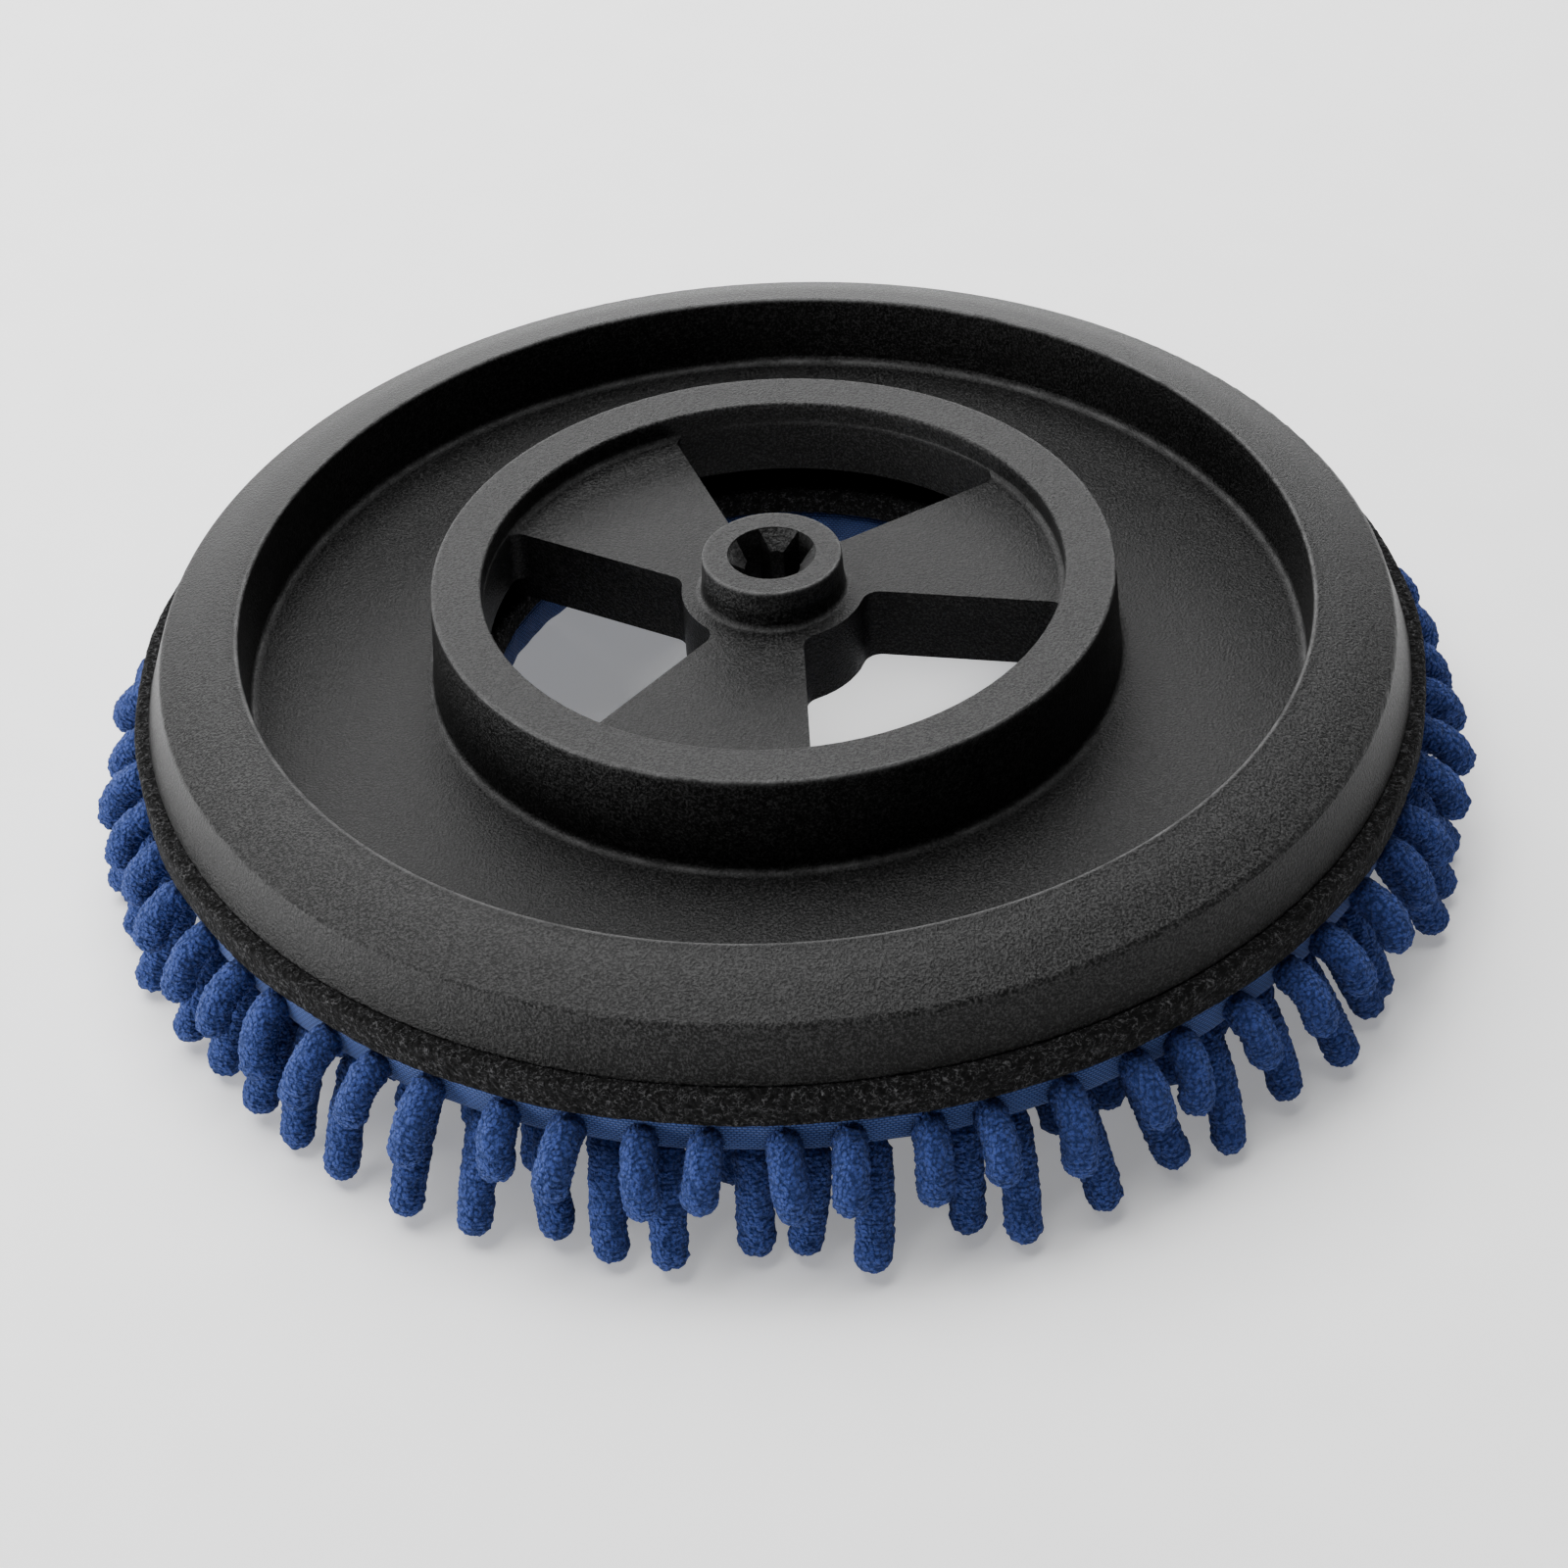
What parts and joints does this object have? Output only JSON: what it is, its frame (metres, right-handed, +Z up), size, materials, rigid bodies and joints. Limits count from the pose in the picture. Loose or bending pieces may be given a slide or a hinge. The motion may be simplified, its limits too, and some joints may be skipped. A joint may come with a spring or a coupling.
{
  "type": "floor cleaner drive disc with wash pad",
  "caption": "Round black drive disc with spoked centre ring and cross-keyed hub, carrying a hook felt and a blue chenille wash pad for scrubbing floors.",
  "frame": {"origin": "on the disc's axis, at the level of the floor the strands stand on", "axes": "+Z up along the disc's axis, out of the hub socket; +Y to the far side, +X to the right"},
  "size_m": [0.3894, 0.389, 0.0863],
  "materials": {
    "black_plastic": "fine moulded grain",
    "black_hook_felt": "coarse speckled velour",
    "blue_loop_cloth": "brushed loops",
    "grey_foam": "open-cell foam",
    "blue_base_cloth": "woven",
    "blue_tape": "woven binding tape",
    "blue_thread": "sewing thread",
    "blue_chenille": "fuzzy microfibre chenille"
  },
  "bodies": {
    "pad": {"pad_loop_face": "blue_loop_cloth", "pad_foam_core": "grey_foam", "pad_base_cloth": "blue_base_cloth", "outer_binding": "blue_tape", "inner_binding": "blue_tape", "outer_binding_stitches": "blue_thread", "inner_binding_stitches": "blue_thread", "edge_strands_upper": "blue_chenille", "edge_strands_lower": "blue_chenille", "strand_row_1": "blue_chenille", "strand_row_2": "blue_chenille", "strand_row_3": "blue_chenille"},
    "driver": {"driver_plate": "black_plastic", "hook_layer": "black_hook_felt"}
  },
  "joints": [
    {"name": "pad_lift_off", "type": "slide", "parent": "pad", "child": "driver", "axis": [0, 0, 1], "range_m": [0, 0.06]}
  ]
}
